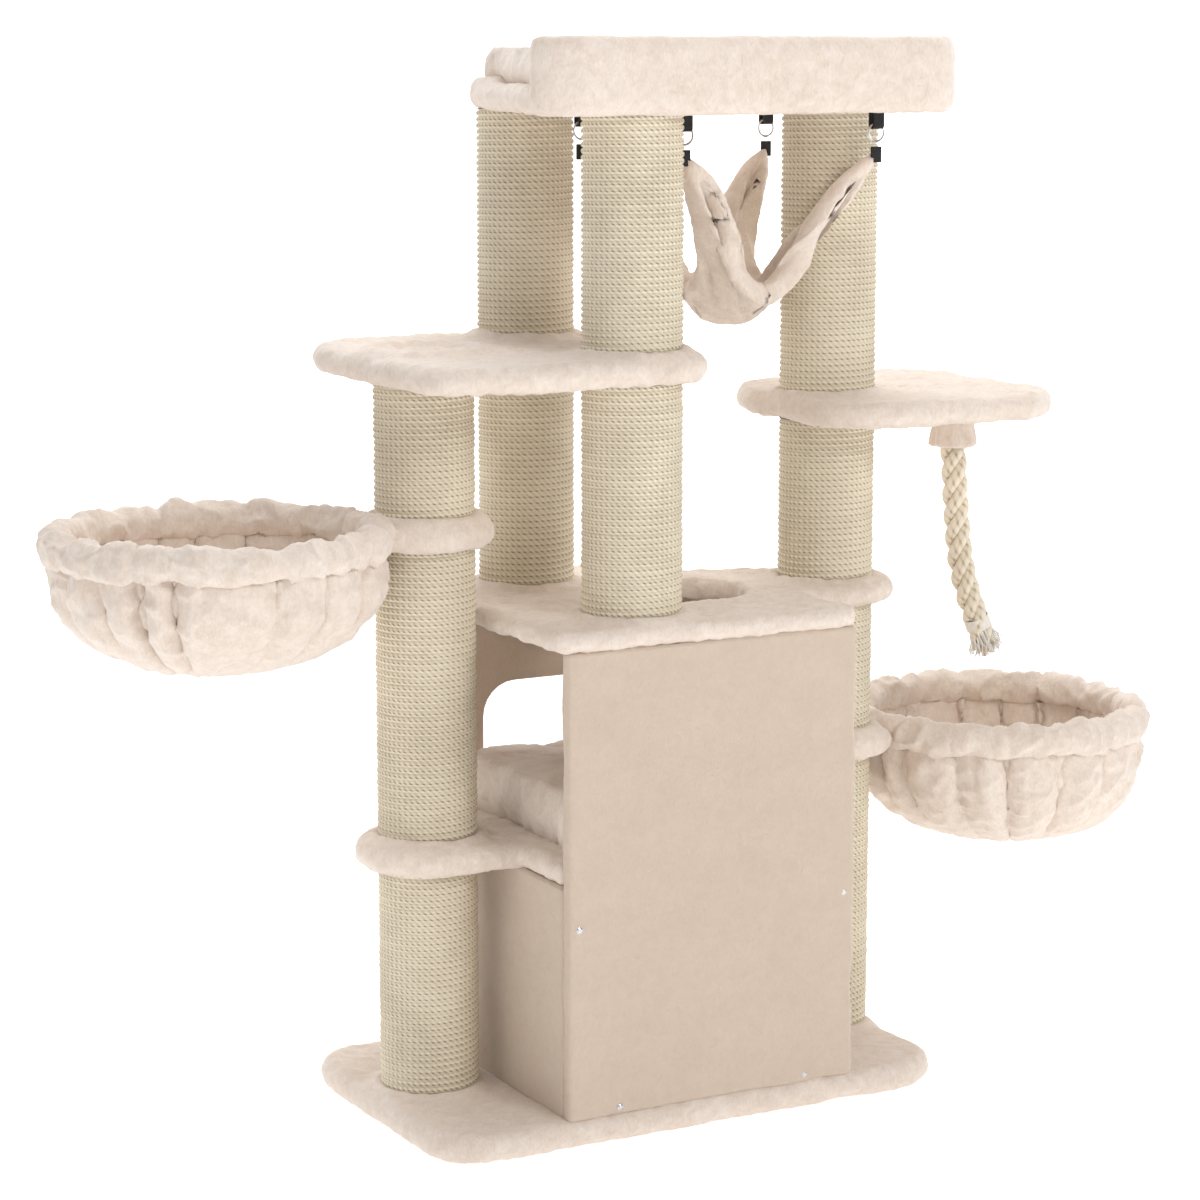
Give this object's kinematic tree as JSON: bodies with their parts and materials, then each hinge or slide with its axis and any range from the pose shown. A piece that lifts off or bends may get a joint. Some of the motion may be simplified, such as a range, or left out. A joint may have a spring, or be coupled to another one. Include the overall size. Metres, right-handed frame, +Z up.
{
  "type": "cat tree",
  "caption": "Cat tree with sisal-wound posts, a two-storey plush house, platforms, a walled top bed, swivelling baskets, a hammock and a hanging rope.",
  "frame": {"origin": "centre of the base plate's underside", "axes": "+Z up; +X to the right along the closed back panel, which faces -Y; the way into the house is on the +Y side"},
  "size_m": [1.852, 0.5515, 1.612],
  "materials": {
    "panel_plush": "particle board covered in short cream plush",
    "board_plush": "board wrapped in long cream plush",
    "soft_plush": "long cream plush, padded",
    "sisal": "twisted sisal rope wound on a cardboard tube",
    "steel": "zinc-plated steel",
    "webbing": "woven black webbing",
    "cotton": "twisted natural cotton rope"
  },
  "bodies": {
    "root": {"back_panel": "panel_plush", "base_plate": "panel_plush", "far_post_1": "sisal", "far_post_2": "sisal", "far_post_bolt_1": "steel", "far_post_bolt_2": "steel", "far_post_bolt_3": "steel", "front_panel": "panel_plush", "hammock_strap_far_left": "webbing", "hammock_strap_far_right": "webbing", "hammock_strap_near_left": "webbing", "hammock_strap_near_right": "webbing", "house_cushion": "soft_plush", "left_platform": "board_plush", "left_post_1": "sisal", "left_post_2": "sisal", "left_post_3": "sisal", "left_post_bolt_1": "steel", "left_post_bolt_2": "steel", "left_post_bolt_3": "steel", "left_post_bolt_4": "steel", "left_side_panel": "panel_plush", "mid_shelf": "board_plush", "near_post_1": "sisal", "near_post_2": "sisal", "near_post_bolt_1": "steel", "near_post_bolt_2": "steel", "near_post_bolt_3": "steel", "panel_screw_lower_left": "steel", "panel_screw_lower_right": "steel", "panel_screw_upper_left": "steel", "panel_screw_upper_right": "steel", "right_platform": "board_plush", "right_post_1": "sisal", "right_post_2": "sisal", "right_post_3": "sisal", "right_post_4": "sisal", "right_post_bolt_1": "steel", "right_post_bolt_2": "steel", "right_post_bolt_3": "steel", "right_post_bolt_4": "steel", "right_post_bolt_5": "steel", "right_side_panel": "panel_plush", "roof_board": "board_plush", "rope_collar": "soft_plush", "top_bed_board": "board_plush", "top_bed_wall": "board_plush"},
    "left_basket": {"left_basket_arm": "board_plush", "left_basket_hoop": "steel", "left_basket_bowl": "soft_plush"},
    "right_basket": {"right_basket_arm": "board_plush", "right_basket_hoop": "steel", "right_basket_bowl": "soft_plush"},
    "near_rings": {"hammock_ring_near_left": "steel", "hammock_ring_near_right": "steel"},
    "far_rings": {"hammock_ring_far_left": "steel", "hammock_ring_far_right": "steel"},
    "hammock": {"hammock": "soft_plush"},
    "rope_toy": {"toy_rope": "cotton"},
    "bed_cushion": {"bed_cushion": "soft_plush"}
  },
  "joints": [
    {"name": "left_basket_swivel", "type": "hinge", "parent": "root", "child": "left_basket", "pos_m": [-0.336, 0.01, 0.874], "axis": [0, 0, 1], "range_deg": [-55, 55]},
    {"name": "right_basket_swivel", "type": "hinge", "parent": "root", "child": "right_basket", "pos_m": [0.36, 0.001, 0.49], "axis": [0, 0, 1], "range_deg": [-55, 55]},
    {"name": "near_rings_swing", "type": "hinge", "parent": "root", "child": "near_rings", "pos_m": [0.201, -0.115, 1.48487], "axis": [1, 0, 0], "range_deg": [-20, 20]},
    {"name": "hammock_hang", "type": "hinge", "parent": "near_rings", "child": "hammock", "pos_m": [0.201, -0.115, 1.45787], "axis": [1, 0, 0], "range_deg": [-20, 20]},
    {"name": "far_rings_swing", "type": "hinge", "parent": "root", "child": "far_rings", "pos_m": [0.201, 0.205, 1.48487], "axis": [1, 0, 0], "range_deg": [-20, 20]},
    {"name": "rope_toy_swing", "type": "hinge", "parent": "root", "child": "rope_toy", "pos_m": [0.5845, -0.02, 0.9865], "axis": [0, 1, 0], "range_deg": [-15, 20]},
    {"name": "bed_cushion_lift", "type": "slide", "parent": "root", "child": "bed_cushion", "axis": [0, 0, 1], "range_m": [0, 0.1]}
  ],
  "couplings": [
    {"joint": "hammock_hang", "follows": "near_rings_swing", "ratio": -1},
    {"joint": "far_rings_swing", "follows": "near_rings_swing", "ratio": 1}
  ]
}
